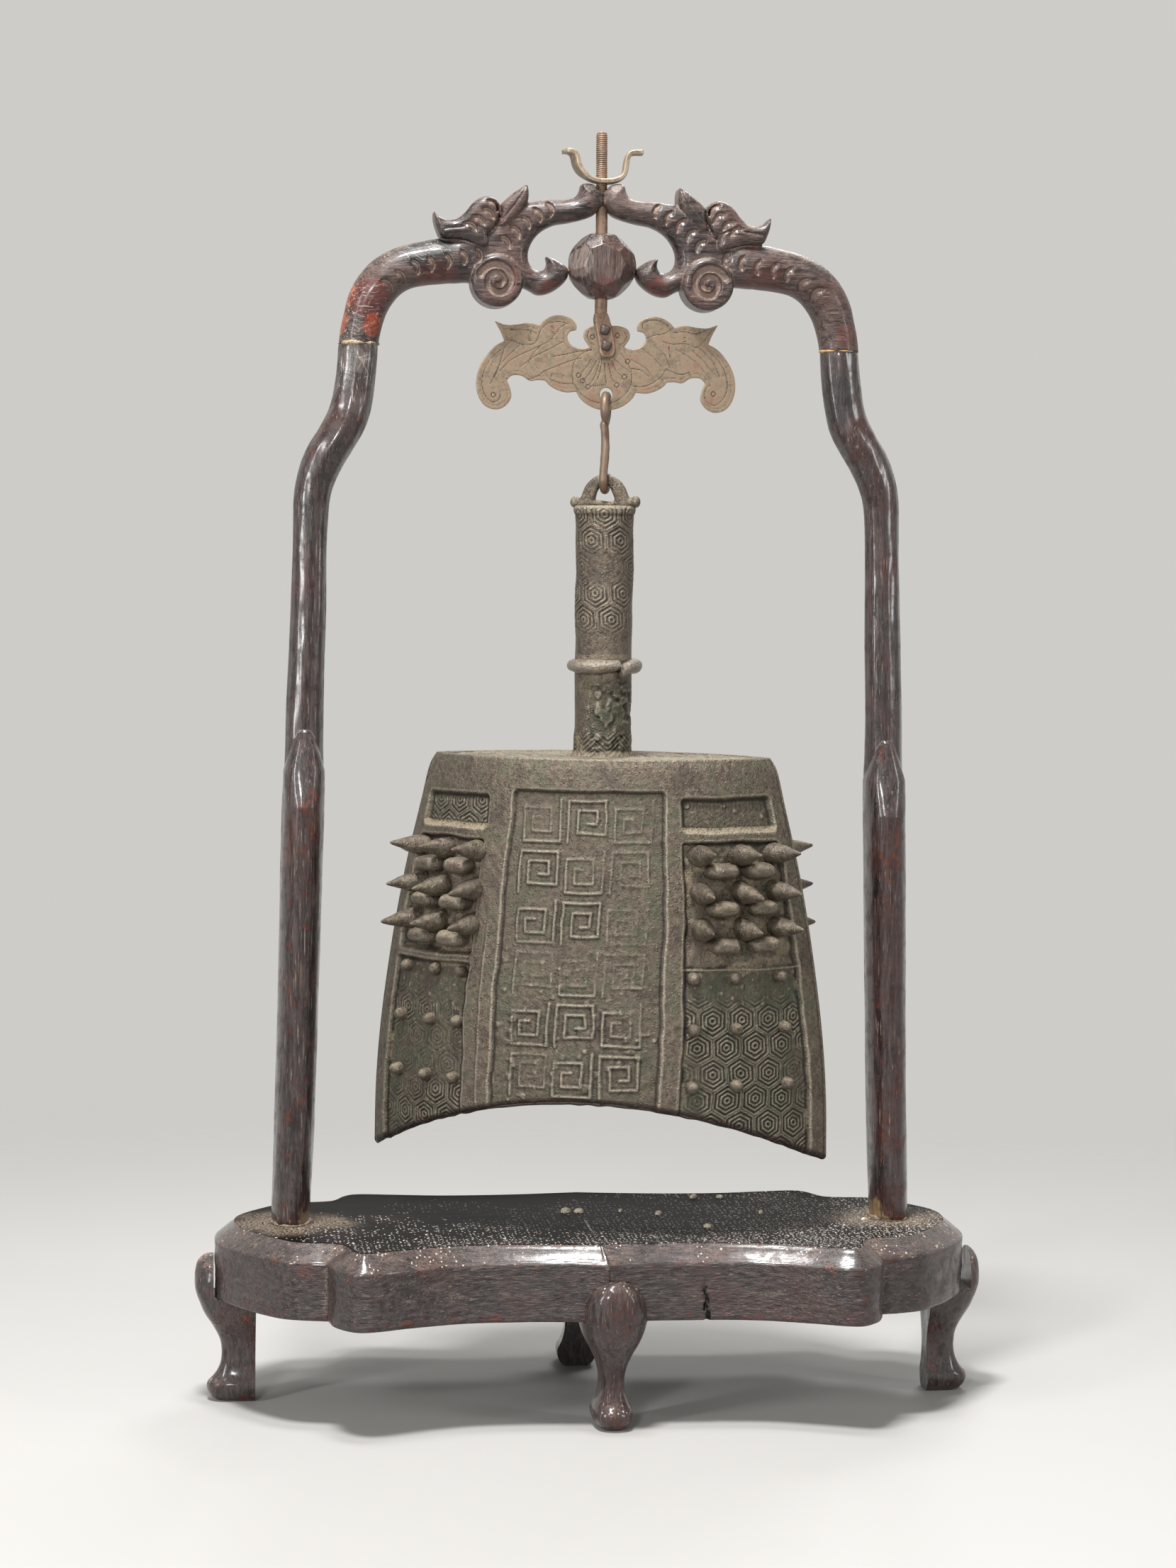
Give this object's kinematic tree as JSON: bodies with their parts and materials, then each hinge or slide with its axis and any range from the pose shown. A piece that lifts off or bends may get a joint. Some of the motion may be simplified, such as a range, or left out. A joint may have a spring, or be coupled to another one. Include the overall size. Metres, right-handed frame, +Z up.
{
  "type": "bronze bell in a carved stand",
  "caption": "Lens-shaped bronze bell with pointed bosses and a long shank, hung by an iron hook from a bat plaque on a screwed rod in a carved hardwood stand with dragon arch and cabriole feet.",
  "frame": {"origin": "on the ground plane under the middle of the stand, in the plane of the two posts", "axes": "+Z up, -Y out of the front of the stand towards the viewer, +X to the viewer's right along the base board"},
  "size_m": [0.421, 0.2029, 0.6685],
  "materials": {
    "hardwood": "very dark purplish-brown hardwood under worn glossy lacquer, red-brown on worn edges, pale dust in the hollows",
    "dowel_wood": "plain unfinished wood, hidden in the joints",
    "nut_metal": "dull greyish brass strip, tarnished",
    "forged_iron": "rusty brown hammered wrought iron",
    "plaque_sheet": "tarnished yellowish grey-brown sheet with engraved lines",
    "bell_bronze": "rough cast bronze, dark grey-brown with green patina and tan encrustation in the recesses"
  },
  "bodies": {
    "stand": {"base_board": "hardwood", "foot_front": "hardwood", "foot_back": "hardwood", "foot_left": "hardwood", "foot_right": "hardwood", "foot_dowel_front": "dowel_wood", "foot_dowel_back": "dowel_wood", "foot_dowel_left": "dowel_wood", "foot_dowel_right": "dowel_wood", "post_left": "hardwood", "post_right": "hardwood", "arch_dowel_left": "dowel_wood", "arch_dowel_right": "dowel_wood", "arch_left": "hardwood", "arch_right": "hardwood", "pearl_boss": "hardwood", "pearl_peg_left": "dowel_wood", "pearl_peg_right": "dowel_wood"},
    "nut": {"wing_nut": "nut_metal"},
    "rod": {"threaded_rod": "forged_iron", "rivet_upper": "forged_iron", "rivet_lower": "forged_iron", "bat_plaque": "plaque_sheet"},
    "hook": {"suspension_hook": "forged_iron"},
    "bell": {"bell_casting": "bell_bronze", "suspension_loop": "bell_bronze"}
  },
  "joints": [
    {"name": "bell_height", "type": "slide", "parent": "stand", "child": "rod", "axis": [0, 0, 1], "range_m": [-0.018, 0.006]},
    {"name": "nut_turn", "type": "hinge", "parent": "stand", "child": "nut", "pos_m": [0, 0, 0.6427], "axis": [0, 0, 1], "range_deg": [-1990, 5950]},
    {"name": "hook_turn", "type": "hinge", "parent": "rod", "child": "hook", "pos_m": [0.0032, 0, 0.5319], "axis": [0, 0, 1], "range_deg": [-12, 44]},
    {"name": "bell_swing", "type": "hinge", "parent": "hook", "child": "bell", "pos_m": [0.0032, 0, 0.4872], "axis": [0.9613, -0.2756, 0], "range_deg": [-25, 25]}
  ],
  "couplings": [
    {"joint": "nut_turn", "follows": "bell_height", "rad_per_m": -5764.4}
  ]
}
